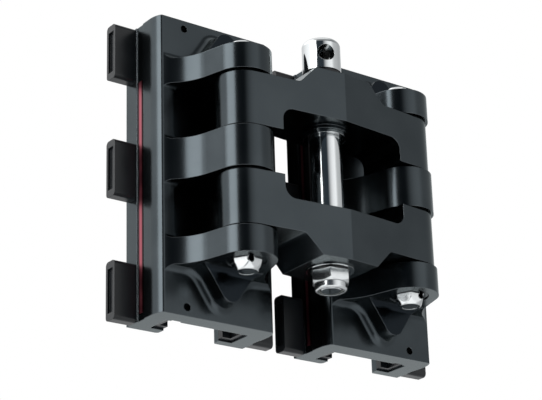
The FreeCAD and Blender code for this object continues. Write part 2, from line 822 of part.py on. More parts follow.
def make_link():
    """The upper link plate: its knuckles, the web over the window and the pin boss."""
    body = doc.addObject("PartDesign::Body", "upper_link")
    place(body, 0.0, pin_y, knuckle_foot)
    plan = outline(body_sketch(body, "link_plan", "XY_Plane"), link_plan())
    pad = body.newObject("PartDesign::Pad", "link_pad")
    pad.Profile = plan
    bind(pad, Length=dim["knuckle_height"] + dim["link_boss_height"])
    doc.recompute()

    web = window_top - knuckle_foot
    side = dim["window_width"] / 2
    r = dim["window_round"]
    c = r.value * (1 - math.sqrt(0.5))
    window = [
        [(side, Size.of(-1.0))],
        [(side, web - r)],
        [(side.value - c, web.value - c), (side - r, web)],
        [(r - side, web)],
        [(c - side.value, web.value - c), (-side, web - r)],
        [(-side, Size.of(-1.0))],
    ]
    front = outline(body_sketch(body, "link_window", "XZ_Plane"), window)
    top = dim["knuckle_height"] + dim["link_boss_height"]
    shelf = dim["knuckle_height"]
    beyond = dim["hinge_spacing"]
    foot = (dim["link_boss_foot"] / 2).value
    slope = math.atan2((top - shelf).value, foot - (dim["link_boss_top"] / 2).value)
    bend = dim["link_boss_round"].value
    reach = bend * math.tan(slope / 2)
    bend_centre = (foot + reach, shelf.value + bend)
    bend_start = (foot + reach, shelf.value)
    bend_end = (foot - reach * math.cos(slope), shelf.value + reach * math.sin(slope))
    bend_middle = arc_between(bend_start, bend_end, bend_centre)
    for sign in (-1, 1):
        shoulder = [
            [(sign * bend_start[0], bend_start[1])],
            [(sign * bend_middle[0], bend_middle[1]), (sign * bend_end[0], bend_end[1])],
            [(sign * (dim["link_boss_top"] / 2), top)],
            [(sign * (dim["link_boss_top"] / 2), top + 2.0)],
            [(sign * beyond, top + 2.0)],
            [(sign * beyond, shelf)],
        ]
        outline(front, shoulder)
    pocket = body.newObject("PartDesign::Pocket", "link_sides")
    pocket.Profile = front
    pocket.Type = "ThroughAll"
    pocket.Midplane = True
    doc.recompute()

    ring_sketch = body_sketch(body, "ring_circle", "XY_Plane")
    lift = web - dim["ring_boss_height"]
    ring_sketch.setExpression("AttachmentOffset.Base.z", lift.formula)
    circle(ring_sketch, dim["ring_boss_radius"], 0.0)
    ring = body.newObject("PartDesign::Pad", "ring_boss")
    ring.Profile = ring_sketch
    bind(ring, Length=dim["ring_boss_height"] + 1.0)
    doc.recompute()

    bores = body_sketch(body, "link_bores", "XY_Plane")
    bores.setExpression("AttachmentOffset.Base.z", (top + 1.0).formula)
    slack = dim["seat_clearance"]
    circle(bores, dim["pin_radius"] + dim["running_clearance"] + dim["bush_wall"] + slack, 0.0)
    circle(bores, dim["knuckle_bush_radius"] + slack, dim["hinge_spacing"] / 2)
    circle(bores, dim["knuckle_bush_radius"] + slack, -dim["hinge_spacing"] / 2)
    drill = body.newObject("PartDesign::Pocket", "link_drilling")
    drill.Profile = bores
    drill.Type = "ThroughAll"
    body.Tip = drill
    doc.recompute()
    for before, after in ((pad, pocket), (ring, drill)):
        if before.Shape.Volume - after.Shape.Volume < 100.0:
            raise RuntimeError("%s takes nothing away" % after.Name)
    if ring.Shape.Volume - pocket.Shape.Volume < 10.0:
        raise RuntimeError("%s adds nothing" % ring.Name)
    return body


def circle(sketch, radius, x):
    """A circle on the sketch's level axis, its radius and place tied to the sheet."""
    x = Size.of(x)
    geometry = Part.Circle(FreeCAD.Vector(x.value, 0, 0), FreeCAD.Vector(0, 0, 1), radius.value)
    number = sketch.addGeometry(geometry, False)
    rule = sketch.addConstraint(Sketcher.Constraint("Radius", number, radius.value))
    sketch.setExpression("Constraints[%d]" % rule, radius.formula)
    if x.value:
        rule = sketch.addConstraint(Sketcher.Constraint("DistanceX", -1, 1, number, 3, x.value))
        sketch.setExpression("Constraints[%d]" % rule, x.formula)


def make_pin_bush():
    """The flanged bush of the upper link, its flange facing the window."""
    bore = dim["pin_radius"] + dim["running_clearance"]
    sleeve = bore + dim["bush_wall"]
    seat = window_top - dim["ring_boss_height"]
    foot = seat - dim["bush_flange_height"]
    section = [
        [(bore, foot)],
        [(dim["bush_flange_radius"], foot)],
        [(dim["bush_flange_radius"], seat)],
        [(sleeve, seat)],
        [(sleeve, boss_top)],
        [(bore, boss_top)],
    ]
    return turned("upper_pin_bush", section, 0.0, pin_y)


def make_knuckle_bush(name):
    bore = dim["bolt_radius"] + dim["running_clearance"]
    radius = dim["knuckle_bush_radius"]
    sleeve = rod(name + "_sleeve", radius, knuckle_foot, knuckle_top, hinge_x, pin_y)
    hole = rod(name + "_hole", bore, knuckle_foot - 1.0, knuckle_top + 1.0, hinge_x, pin_y)
    return cut(name, sleeve, [hole])


# The batten pin and what clamps it
slack = dim["running_clearance"]
collar_seat = boss_top + dim["thrust_washer_height"] + slack * 2
head_seat = collar_seat + dim["pin_collar_height"] + slack
tail_washer_foot = boss_foot - slack - dim["tail_washer_height"]
nut_seat = tail_washer_foot - dim["tail_collar_height"]


def make_pin():
    """The batten pin: a domed head with a cross hole, a plain shank and a threaded tail."""
    head_top = head_seat + dim["pin_head_height"]
    r = dim["pin_head_round"]
    c = r.value * (1 - math.sqrt(0.5))
    head = dim["pin_head_radius"]
    tail = nut_seat - dim["locknut_height"] + 0.2
    shoulder = boss_foot - slack
    zero = Size.of(0.0)
    section = [
        [(zero, tail)],
        [(dim["pin_thread_radius"] - 0.8, tail)],
        [(dim["pin_thread_radius"], tail + 0.8)],
        [(dim["pin_thread_radius"], shoulder)],
        [(dim["pin_radius"], shoulder)],
        [(dim["pin_radius"], head_seat)],
        [(head, head_seat)],
        [(head, head_top - r)],
        [(head.value - c, head_top.value - c), (head - r, head_top)],
        [(zero, head_top)],
    ]
    body = turned("pin_body", section, 0.0, pin_y)
    height = head_seat + dim["pin_hole_height"]
    hole = cross_hole("pin_eye", dim["pin_hole_radius"], 0.0, pin_y, height, dim["pin_hole_turn"])
    return cut("batten_pin", body, [hole])


def make_washer(name, radius, bore, low, thickness):
    """A flat ring round the pin, standing on the level low."""
    disc = rod(name + "_disc", radius, low, low + thickness, 0.0, pin_y)
    hole = rod(name + "_hole", bore, low - 1.0, low + thickness + 1.0, 0.0, pin_y)
    return cut(name, disc, [hole])


def make_locknut():
    """The pin's locknut: a chamfered hexagon with a crown rolled in over the nylon ring."""
    corners = dim["locknut_flats"] / math.cos(math.pi / 6)
    hex_foot = nut_seat - dim["locknut_hex_height"]
    foot = nut_seat - dim["locknut_height"]
    bar = hexagon("locknut_bar", corners, hex_foot, nut_seat, 0.0, pin_y, dim["locknut_turn"])
    bore = dim["pin_thread_radius"] + dim["seat_clearance"]
    flat = dim["locknut_flats"] / 2
    chamfer = [
        [(bore, nut_seat)],
        [(corners / 2, nut_seat)],
        [(corners / 2, hex_foot + 1.3)],
        [(flat - 0.2, hex_foot)],
        [(bore, hex_foot)],
    ]
    form = shared("locknut_hex", bar, turned("locknut_chamfer", chamfer, 0.0, pin_y))
    rim = dim["locknut_crown_radius"]
    lip = dim["locknut_lip_radius"]
    r = dim["locknut_crown_round"]
    c = r.value * (1 - math.sqrt(0.5))
    crown_section = [
        [(bore, hex_foot + 1.0)],
        [(rim, hex_foot + 1.0)],
        [(rim, foot + r)],
        [(rim.value - c, foot.value + c), (rim - r, foot)],
        [(lip, foot)],
        [(lip, foot + 0.6)],
        [(rim - 1.0, foot + 0.6)],
        [(rim - 1.0, foot + 2.8)],
        [(bore, foot + 2.8)],
    ]
    crown = turned("locknut_crown", crown_section, 0.0, pin_y)
    return joined("pin_locknut", [form, crown])


def make_nut_ring():
    """The nylon ring in the locknut's crown."""
    foot = nut_seat - dim["locknut_height"] + 0.65
    outer = dim["locknut_crown_radius"] - 1.0 - dim["seat_clearance"]
    ring = rod("ring_disc", outer, foot, foot + 2.1, 0.0, pin_y)
    bore = dim["pin_thread_radius"] + dim["seat_clearance"]
    return cut("locknut_ring", ring, [rod("ring_hole", bore, foot - 1.0, foot + 4.0, 0.0, pin_y)])


# Every sub-part, each with the name of its node
nodes = []


def keep(thing, name):
    thing.Label = name
    nodes.append(thing)
    return thing


left = {"body": make_car(), "hinge_bolt": make_hinge_bolt(), "hinge_nut": make_hinge_nut()}
left["hinge_washers"] = make_hinge_washers()
left["end_screws"] = make_end_screws()
for side, word in ((-1, "outer"), (1, "inner")):
    left[word + "_liner"] = make_liner("left_%s_liner" % word, side)
    left[word + "_stripe"] = make_stripe("left_%s_stripe" % word, side)
    for level, foot in shoe_levels():
        key = "%s_%s_shoe" % (word, level)
        left[key] = make_shoe("left_" + key, side, foot)
for key, thing in left.items():
    keep(thing, "left_car_" + key)
    keep(mirrored("right_" + key, thing, (1, 0, 0)), "right_car_" + key)

upper = keep(make_link(), "upper_link")
keep(flipped("lower_link_form", upper), "lower_link")
pin_bush = keep(make_pin_bush(), "upper_pin_bush")
keep(flipped("lower_pin_bush_form", pin_bush), "lower_pin_bush")
upper_bush = keep(make_knuckle_bush("left_upper_sleeve"), "left_upper_knuckle_bush")
lower_bush = keep(flipped("left_lower_sleeve", upper_bush), "left_lower_knuckle_bush")
keep(mirrored("right_upper_sleeve", upper_bush, (1, 0, 0)), "right_upper_knuckle_bush")
keep(mirrored("right_lower_sleeve", lower_bush, (1, 0, 0)), "right_lower_knuckle_bush")

pin_bore = dim["pin_radius"] + slack
thread_bore = dim["pin_thread_radius"] + dim["seat_clearance"]
keep(make_pin(), "batten_pin")
ring_radius = dim["thrust_washer_radius"]
rings = (
    ("pin_head_washer", ring_radius, pin_bore, boss_top + slack, dim["thrust_washer_height"]),
    ("pin_collar", dim["pin_collar_radius"], pin_bore, collar_seat, dim["pin_collar_height"]),
    ("pin_tail_washer", ring_radius, thread_bore, tail_washer_foot, dim["tail_washer_height"]),
    ("nut_collar", dim["pin_collar_radius"], thread_bore, nut_seat, dim["tail_collar_height"]),
)
for word, radius, bore, low, thickness in rings:
    keep(make_washer(word + "_ring", radius, bore, low, thickness), word)
keep(make_locknut(), "pin_locknut")
keep(make_nut_ring(), "locknut_ring")

doc.recompute()

# Every object has to be sound before anything is written
for thing in doc.Objects:
    for state in thing.State:
        if state in ("Invalid", "Error"):
            raise RuntimeError("%s is %s: %s" % (thing.Name, state, thing.getStatusString()))
for thing in nodes:
    if thing.Shape.isNull() or not thing.Shape.isValid() or not thing.Shape.Solids:
        raise RuntimeError("%s has no sound shape" % thing.Label)

for thing in nodes:
    thing.Shape.exportStep("parts/%s.step" % thing.Label)
    print(thing.Label, len(thing.Shape.Solids), round(thing.Shape.Volume, 1))
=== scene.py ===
# %% [markdown]
# # A twin batten car, dressed for its portrait
#
# The part is a pair of tall track cars, hinged to two link plates, with one polished pin between
# them. Its shapes arrive finished from the construction step, so this lesson is about light and
# finishes: black anodised aluminium, stainless and blackened steel, moulded plastic, a thin red line
# and a ring of nylon.
#
# The shapes are loaded and their box is measured before anything is added.

import json
import math

import bpy
from mathutils import Matrix, Vector


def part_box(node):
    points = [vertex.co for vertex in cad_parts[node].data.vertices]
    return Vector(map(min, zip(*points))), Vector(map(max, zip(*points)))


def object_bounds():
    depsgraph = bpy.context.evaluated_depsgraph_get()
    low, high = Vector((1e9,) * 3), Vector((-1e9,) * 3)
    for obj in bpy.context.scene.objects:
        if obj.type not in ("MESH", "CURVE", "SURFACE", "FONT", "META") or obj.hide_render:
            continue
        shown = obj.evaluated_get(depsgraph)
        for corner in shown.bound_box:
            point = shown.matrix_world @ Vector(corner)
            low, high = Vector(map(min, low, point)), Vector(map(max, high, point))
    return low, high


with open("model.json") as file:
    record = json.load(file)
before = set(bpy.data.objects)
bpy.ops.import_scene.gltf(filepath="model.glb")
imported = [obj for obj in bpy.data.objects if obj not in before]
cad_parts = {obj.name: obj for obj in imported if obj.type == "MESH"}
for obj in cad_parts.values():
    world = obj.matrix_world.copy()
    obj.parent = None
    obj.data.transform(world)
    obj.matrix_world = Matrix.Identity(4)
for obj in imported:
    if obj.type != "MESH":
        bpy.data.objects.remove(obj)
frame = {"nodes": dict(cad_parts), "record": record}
nodes = frame["nodes"]
cad_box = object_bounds()
lowest, highest = cad_box
middle = (lowest + highest) / 2
half_height = (highest.z - lowest.z) / 2
print("pieces in the frame:", len(nodes))
print("size in mm:", [round(1000 * v, 1) for v in highest - lowest])

# %% [markdown]
# ## The camera
#
# The photograph was taken from below and from the left, with a long lens that keeps upright edges
# nearly parallel. A camera can be aimed by eye, but then a small error looks like a wrong shape. So
# the place, the directions and the lens were worked out from about sixty points of the object in the
# photograph, and they are written here as plain numbers.
#
# The Standard view transform shows colours as they are written, with no film look over them.

# %% Place the camera
CAMERA_PLACE = Vector((-0.58448, -0.75421, -0.30200))
CAMERA_RIGHT = Vector((0.80885, -0.58734, -0.02812)).normalized()
CAMERA_FORWARD = Vector((0.55417, 0.74543, 0.37044)).normalized()
LENS_MM = 124.22
SENSOR_MM = 36.0

scene = bpy.context.scene
camera_data = bpy.data.cameras.new("camera")
camera_data.lens = LENS_MM
camera_data.sensor_width = SENSOR_MM
camera_data.sensor_fit = "HORIZONTAL"
camera_data.clip_start = 0.01
camera = bpy.data.objects.new("camera", camera_data)
scene.collection.objects.link(camera)
camera_up = CAMERA_RIGHT.cross(CAMERA_FORWARD).normalized()
turn = Matrix((CAMERA_RIGHT, camera_up, -CAMERA_FORWARD)).transposed()
camera.matrix_world = Matrix.Translation(CAMERA_PLACE) @ turn.to_4x4()
scene.camera = camera
scene.view_settings.view_transform = "Standard"
print("camera distance to the part: %.2f m" % CAMERA_PLACE.length)
print("it looks up by %.1f degrees" % math.degrees(math.asin(CAMERA_FORWARD.z)))

# %% [markdown]
# ## Helpers that add nodes
#
# A material is a small network of nodes, and so is the world: the output of one node feeds an input
# of the next. The network could be drawn by hand in the shader editor. Written down, it can be
# repeated for every finish, and three helpers keep the recipes short enough to read.

# %% Helpers that add nodes
def feed(tree, socket, value):
    """Sets an input to a value, or joins it to the output of another node."""
    if isinstance(value, bpy.types.NodeSocket):
        tree.links.new(value, socket)
    else:
        socket.default_value = value


def add(tree, kind, **inputs):
    """Adds a node and feeds its inputs by name."""
    node = tree.nodes.new(kind)
    for name, value in inputs.items():
        feed(tree, node.inputs[name], value)
    return node


def maths(tree, operation, *values):
    """Adds one step of arithmetic."""
    node = tree.nodes.new("ShaderNodeMath")
    node.operation = operation
    for socket, value in zip(node.inputs, values):
        feed(tree, socket, value)
    return node.outputs[0]


print("helpers ready: feed, add and maths")

# %% [markdown]
# ## The studio: a compass
#
# Polished and satin black surfaces show little colour of their own: what is seen in them is the
# studio. A picture of a studio could be wrapped round the scene. Here the studio is painted with
# colour ramps instead, because a ramp is easy to change while the render is set against the
# photograph.
#
# A ramp needs a number to run along. So the direction in which a ray leaves is turned into a compass
# reading from 0 to 1. The front is at 0.5, and smaller readings lie to its left.

# %% Read the compass
world = bpy.data.worlds.new("studio")
scene.world = world
world.use_nodes = True
studio = world.node_tree
studio.nodes.clear()
direction = add(studio, "ShaderNodeTexCoord").outputs["Generated"]
parts = add(studio, "ShaderNodeSeparateXYZ", Vector=direction)
towards_front = maths(studio, "MULTIPLY", parts.outputs["Y"], -1.0)
angle = maths(studio, "ARCTAN2", parts.outputs["X"], towards_front)
compass = maths(studio, "MULTIPLY_ADD", angle, 0.5 / math.pi, 0.5)
print("nodes that read the compass:", len(studio.nodes))

# %% [markdown]
# ## The studio: walls, table and upper air
#
# Where the lights of the photograph stood can be guessed from its reflections. Every upright surface,
# from the round arms to the pin, shows the same sequence from left to right. It looks like a pale
# room, a bright soft panel, a black gap where the camera stands, a second paler panel and a dimmer
# room. That sequence is the ramp of the walls.
#
# The undersides seem to mirror a pale table, and faces that lean back a bright panel high on the
# left. Each of these gets a ramp of its own.

# %% Paint walls, table and upper air
TINT = 0.01  # every level is this much bluer, and less red, than grey


def ring_of_light(levels):
    """A ramp over the compass, from degrees and brightness. 0 is the front and -90 the left."""
    ramp = add(studio, "ShaderNodeValToRGB", Fac=compass)
    stops = ramp.color_ramp.elements
    while len(stops) < len(levels):
        stops.new(0.5)
    for stop, (degrees, level) in zip(stops, levels):
        stop.position = degrees / 360 + 0.5
    for stop, (degrees, level) in zip(stops, levels):
        stop.color = (level - TINT, level, level + TINT, 1.0)
    return ramp.outputs["Color"]


walls = ring_of_light([
    (-180, 0.8), (-145, 1.15), (-126, 1.35),  # pale room
    (-100, 1.5), (-72, 1.38),  # bright panel
    (-66, 0.08), (-58, 0.04), (-45, 0.04), (-26, 0.04),  # black gap, where the camera stands
    (-19, 0.35), (-8, 0.8), (6, 1.12), (26, 1.25), (42, 0.7),  # second panel
    (90, 0.5), (120, 0.6), (143, 0.9), (180, 0.8),  # dimmer room
])
table = ring_of_light([(-180, 0.8), (-100, 0.7), (-60, 1.35), (20, 1.35), (45, 0.6), (180, 0.8)])
upper_air = ring_of_light([
    (-180, 0.9), (-155, 2.6), (-110, 2.6), (-85, 0.7), (-60, 0.3), (60, 0.3), (180, 0.9),
])
print("ramps in the studio:", sum(node.type == "VALTORGB" for node in studio.nodes))

# %% [markdown]
# ## The studio: one room
#
# The height of a direction is 0 when it is level, 1 straight up and -1 straight down. It chooses
# between the ramps, with a soft border so that no hard line crosses the metal. Straight overhead the
# room is white.
#
# The camera should see a plain white background instead. The Light Path node tells the camera's own
# rays from those that a surface sends out, so each kind gets its own answer.

# %% Join the ramps
WHITE = (1.0, 1.0, 1.0, 1.0)
TABLE_BORDER = (-0.5, -0.64)
UPPER_BORDER = (0.46, 0.6)
OVERHEAD_BORDER = (0.82, 0.95)


def remap(tree, value, low, high):
    """Stretches low to high onto 0 to 1, with soft ends."""
    node = tree.nodes.new("ShaderNodeMapRange")
    node.interpolation_type = "SMOOTHSTEP"
    for socket, number in zip(node.inputs, (value, low, high)):
        feed(tree, socket, number)
    return node.outputs[0]


def blend_colours(tree, factor, first, second):
    """Mixes two colours. Set to colour, a Mix node uses its inputs 0, 6 and 7 and its output 2."""
    node = tree.nodes.new("ShaderNodeMix")
    node.data_type = "RGBA"
    for number, value in ((0, factor), (6, first), (7, second)):
        feed(tree, node.inputs[number], value)
    return node.outputs[2]


height = parts.outputs["Z"]
room = walls
for border, beyond in ((TABLE_BORDER, table), (UPPER_BORDER, upper_air), (OVERHEAD_BORDER, WHITE)):
    room = blend_colours(studio, remap(studio, height, *border), room, beyond)
camera_ray = add(studio, "ShaderNodeLightPath").outputs["Is Camera Ray"]
seen = blend_colours(studio, camera_ray, room, WHITE)
background = add(studio, "ShaderNodeBackground", Color=seen, Strength=1.0)
studio.links.new(background.outputs[0], add(studio, "ShaderNodeOutputWorld").inputs["Surface"])
print("nodes in the studio:", len(studio.nodes))

# %% [markdown]
# ## The soft panel
#
# The painted room lights the part from all round, so its shadows have hardly any direction. In the
# photograph most of the light seems to come from high on the left. An area lamp adds that: it works
# like a lamp behind a sheet of diffuser, and its size sets how soft the shadows are.
#
# The brightness is given as what a mirror would show of the panel, since that can be read from
# the photograph. Times pi and the area, it makes the lamp's power in watts.

# %% Hang the soft panel
PANEL_PLACE = Vector((-1.6, -0.15, 0.70))
PANEL_WIDTH, PANEL_HEIGHT = 1.0, 1.3
PANEL_BRIGHTNESS = 3.3

panel_data = bpy.data.lights.new("left_panel", "AREA")
panel_data.shape = "RECTANGLE"
panel_data.size = PANEL_WIDTH
panel_data.size_y = PANEL_HEIGHT
panel_data.energy = PANEL_BRIGHTNESS * math.pi * PANEL_WIDTH * PANEL_HEIGHT
left_panel = bpy.data.objects.new("left_panel", panel_data)
scene.collection.objects.link(left_panel)
left_panel.location = PANEL_PLACE
aim = middle - PANEL_PLACE
left_panel.rotation_euler = aim.to_track_quat("-Z", "Y").to_euler()
print("left panel: %.1f W, %.2f m from the part" % (panel_data.energy, aim.length))

# %% [markdown]
# ## Cards for the stage
#
# A photographer stands plain cards round the object: a pale one below it, a dark one where a
# reflection should go dark. A card is a rectangle with dull paint.
#
# A real card is in the way of every ray. In Blender a card can let some kinds pass: its paint is
# mixed with a transparent shader, and the Light Path node tells which kind of ray has arrived.

# %% Helpers for the stage
DULL = 0.9  # roughness of the paint


def card(name, half_width, half_height, colour):
    """A flat, dull rectangle, added to the scene apart from the part."""
    mesh = bpy.data.meshes.new(name)
    signs = ((-1, -1), (1, -1), (1, 1), (-1, 1))
    corners = [(x * half_width, y * half_height, 0) for x, y in signs]
    mesh.from_pydata(corners, [], [(0, 1, 2, 3)])
    thing = bpy.data.objects.new(name, mesh)
    scene.collection.objects.link(thing)
    paint = bpy.data.materials.new(name + "_paint")
    paint.use_nodes = True
    mesh.materials.append(paint)
    shader = paint.node_tree.nodes["Principled BSDF"]
    shader.inputs["Base Color"].default_value = colour
    shader.inputs["Roughness"].default_value = DULL
    return thing


def see_through(thing, *rays):
    """Lets the named kinds of ray pass through the paint of a card."""
    tree = thing.active_material.node_tree
    path = add(tree, "ShaderNodeLightPath")
    passing = path.outputs[rays[0]]
    for ray in rays[1:]:
        passing = maths(tree, "MAXIMUM", passing, path.outputs[ray])
    either = add(tree, "ShaderNodeMixShader", Fac=passing)
    tree.links.new(tree.nodes["Principled BSDF"].outputs[0], either.inputs[1])
    tree.links.new(add(tree, "ShaderNodeBsdfTransparent").outputs[0], either.inputs[2])
    tree.links.new(either.outputs[0], tree.nodes["Material Output"].inputs["Surface"])


print("helpers ready: card and see_through")

# %% [markdown]
# ## The floor
#
# The camera looks up from under the part. A floor right below the part would be in its way, so the
# pale floor lies well down. It is seen from higher up, where it catches the shadow.
#
# The metal should mirror the painted table and not this floor, and the light of that table should
# reach the undersides. So the floor lets reflected rays and shadow rays pass.

# %% Lay the floor
FLOOR_GREY = (0.82, 0.82, 0.82, 1)
FLOOR_HALF_WIDTH = 6.0
FLOOR_DROP = 0.6

floor = card("floor", FLOOR_HALF_WIDTH, FLOOR_HALF_WIDTH, FLOOR_GREY)
floor.location.z = lowest.z - FLOOR_DROP
see_through(floor, "Is Glossy Ray", "Is Shadow Ray")
print("the floor lies at z = %.2f m" % floor.location.z)

# %% [markdown]
# ## The dark card between the cars
#
# In the photograph the narrow space between the two cars is black, as it would be if the part lay on
# its back over a shadowed table. Here the part stands upright and that space is open behind.
#
# Its walls could be painted black, but they would stay black when the cars swing apart. A small dark
# card is put in the gap instead, as a dark sheet that stands in for the shade there. Reflections and
# bounced light meet it, and the camera looks through it.

# %% Stand the dark card
# a dark sheet put in the gap between the cars, where it stands for shade
SHADE_CARD_GREY = (0.05, 0.05, 0.05, 1)
CARD_TUCK = 0.011  # how far it reaches into the wall of each car, so that no light slips past
CARD_INSET = 0.00025  # how far it stands in front of the backs of the cars

half_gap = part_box("right_car_body")[0].x
# the dark card stands in the gap as painted shade, seen only by reflections and bounced light
gap_shade_card = card("gap_shade_card", half_gap + CARD_TUCK, half_height, SHADE_CARD_GREY)
gap_shade_card.rotation_euler.x = math.radians(90)
gap_shade_card.location = (middle.x, highest.y - CARD_INSET, middle.z)
see_through(gap_shade_card, "Is Camera Ray")
print("the gap between the cars: %.0f mm" % (2000 * half_gap))
print("dark card: %.0f by %.0f mm" % (1000 * gap_shade_card.dimensions.x, 1000 * gap_shade_card.dimensions.y))

# %% [markdown]
# ## Shared effect: mottle
#
# A finish is convincing when it is not quite even. Handling and small changes in the bath make the
# gloss of a real part wander a little, too softly to be seen as a pattern. A picture of smudges could
# do that, but noise needs no picture and shows no seams.
#
# Every finish here uses the effect, so it is built once as a node group: a network with named inputs
# and outputs, which each material then takes with values of its own.

# %% Build the mottle group
FLOAT = "NodeSocketFloat"
NOISE_LOW, NOISE_HIGH = 0.3, 0.7  # most of the noise lies between these


def new_group(name, inputs, outputs):
    """Starts a node group. Returns it with its inner input node and its inner output node."""
    group = bpy.data.node_groups.new(name, "ShaderNodeTree")
    for label, value in inputs:
        socket = group.interface.new_socket(name=label, in_out="INPUT", socket_type=FLOAT)
        socket.default_value = value
    for label, kind in outputs:
        group.interface.new_socket(name=label, in_out="OUTPUT", socket_type=kind)
    print("group", name, "takes", [label for label, value in inputs])
    return group, group.nodes.new("NodeGroupInput"), group.nodes.new("NodeGroupOutput")


mottle, given, result = new_group(
    "mottle",
    [("Scale", 60.0), ("Low", 0.2), ("High", 0.3)],
    [("Value", FLOAT), ("Mask", FLOAT)],
)
where = add(mottle, "ShaderNodeTexCoord").outputs["Object"]
cloud = add(mottle, "ShaderNodeTexNoise", Vector=where, Scale=given.outputs["Scale"], Detail=4.0)
mask = remap(mottle, cloud.outputs["Fac"], NOISE_LOW, NOISE_HIGH)
low = given.outputs["Low"]
span = maths(mottle, "SUBTRACT", given.outputs["High"], low)
mottle.links.new(maths(mottle, "MULTIPLY_ADD", mask, span, low), result.inputs["Value"])
mottle.links.new(mask, result.inputs["Mask"])

# %% [markdown]
# ## Shared effect: grain
#
# A cutter, a die or a mould leaves marks far too small to model. The grain group makes them from
# fine noise, which a Bump node can read as a height. The mesh stays as it is, and only the light on
# it changes.
#
# A value of Stretch below 1 draws the noise out along the upright, like the marks of an extrusion.
# A value above 1 presses it together into rings, like the marks of a lathe.

# %% Build the grain group
grain, given, result = new_group(
    "grain",
    [("Scale", 1500.0), ("Stretch", 1.0), ("Depth", 0.1)],
    [("Height", FLOAT)],
)
where = add(grain, "ShaderNodeTexCoord").outputs["Object"]
shape = add(grain, "ShaderNodeCombineXYZ", X=1.0, Y=1.0, Z=given.outputs["Stretch"])
drawn = add(grain, "ShaderNodeVectorMath", Vector=where)
drawn.operation = "MULTIPLY"
grain.links.new(shape.outputs[0], drawn.inputs[1])
speck = add(
    grain, "ShaderNodeTexNoise",
    Vector=drawn.outputs[0], Scale=given.outputs["Scale"], Detail=3.0,
)
marks = maths(grain, "MULTIPLY", speck.outputs["Fac"], given.outputs["Depth"])
grain.links.new(marks, result.inputs["Height"])

# %% [markdown]
# ## Shared effect: soft edges
#
# No real corner is perfectly sharp. One that is rounded by a few tenths of a millimetre catches a
# thin line of light, and the photograph shows it along every arm.
#
# A bevel modifier would cut such corners into the mesh, but these meshes must stay as they were
# built. The Bevel node only bends the light there. Where its direction differs from the flat side,
# there is an edge, so the group also gives out a mask of the edges.

# %% Build the soft edges group
FEELERS = 6  # how many rays a node sends out round each point
EDGE_STARTS, EDGE_FULL = 0.995, 0.85  # how alike the two directions are

edges, given, result = new_group(
    "soft_edges",
    [("Radius", 0.0004)],
    [("Normal", "NodeSocketVector"), ("Edge", FLOAT)],
)
round_edge = add(edges, "ShaderNodeBevel", Radius=given.outputs["Radius"])
round_edge.samples = FEELERS
flat_side = add(edges, "ShaderNodeNewGeometry").outputs["Normal"]
alike = add(edges, "ShaderNodeVectorMath")
alike.operation = "DOT_PRODUCT"
edges.links.new(round_edge.outputs[0], alike.inputs[0])
edges.links.new(flat_side, alike.inputs[1])
edges.links.new(round_edge.outputs[0], result.inputs["Normal"])
edge_mask = remap(edges, alike.outputs["Value"], EDGE_STARTS, EDGE_FULL)
edges.links.new(edge_mask, result.inputs["Edge"])

# %% [markdown]
# ## Shared effect: painted shade in pockets
#
# Pockets and small holes get less light than the outside of a part, so their colour is painted darker
# here, as painted shade. They could be picked out one by one. The Ambient Occlusion node finds them
# all: it looks round from each point and tells how open the space is within its reach.

# %% Build the pocket shade group
POCKET_STARTS, POCKET_FULL = 0.75, 0.2  # the share that is open

pocket_shade, given, result = new_group("pocket_shade", [("Reach", 0.012)], [("Mask", FLOAT)])
open_sky = add(pocket_shade, "ShaderNodeAmbientOcclusion", Distance=given.outputs["Reach"])
open_sky.samples = FEELERS
pocket_shade_mask = remap(pocket_shade, open_sky.outputs["AO"], POCKET_STARTS, POCKET_FULL)
pocket_shade.links.new(pocket_shade_mask, result.inputs["Mask"])

# %% [markdown]
# ## Helpers for finishes
#
# The finishes have three things in common: a material to build them in, a gloss that the mottle lets
# wander, and, on all but two of them, a fine bump over softened edges. Copying those nodes by hand
# is where mistakes creep in. As helpers they are written once, and each recipe then says only what
# is special about its finish.

# %% Helpers for finishes
def new_material(name):
    """A fresh material, with its network of nodes and its main shader."""
    material = bpy.data.materials.new(name)
    material.use_nodes = True
    return material, material.node_tree, material.node_tree.nodes["Principled BSDF"]


def use(tree, group, **inputs):
    """Places a shared group in a material, with values of its own."""
    node = tree.nodes.new("ShaderNodeGroup")
    node.node_tree = group
    for name, value in inputs.items():
        feed(tree, node.inputs[name], value)
    return node


def mottled_gloss(tree, shader, scale, low, high):
    """Lets the roughness wander between two values. Returns the mask of the mottle."""
    cloud = use(tree, mottle, Scale=scale, Low=low, High=high)
    tree.links.new(cloud.outputs["Value"], shader.inputs["Roughness"])
    return cloud.outputs["Mask"]


def roughen(tree, shader, marks, distance, radius):
    """Raises marks by a distance, over edges softened by a radius. Returns the edge mask."""
    soft = use(tree, edges, Radius=radius)
    bump = add(tree, "ShaderNodeBump", Height=marks, Distance=distance, Strength=1.0)
    tree.links.new(soft.outputs["Normal"], bump.inputs["Normal"])
    tree.links.new(bump.outputs["Normal"], shader.inputs["Normal"])
    return soft.outputs["Edge"]


print("helpers ready: new_material, use, mottled_gloss and roughen")

# %% [markdown]
# ## Black anodised aluminium: the skin
#
# The cars and the link plates are anodised. The bath grows a clear hard skin on the metal and dyes it
# black. It is smooth but not mirror-like, and keeps a faint lengthwise grain from the extrusion and
# the cutter.
#
# It could be made as black paint under a gloss coat, but then the edges turn pale wherever it is seen
# at a slant. A metal with a very dark colour keeps the soft, even shine of the real skin.

# %% Anodised skin
MM = 0.001
MICRON = 0.000001

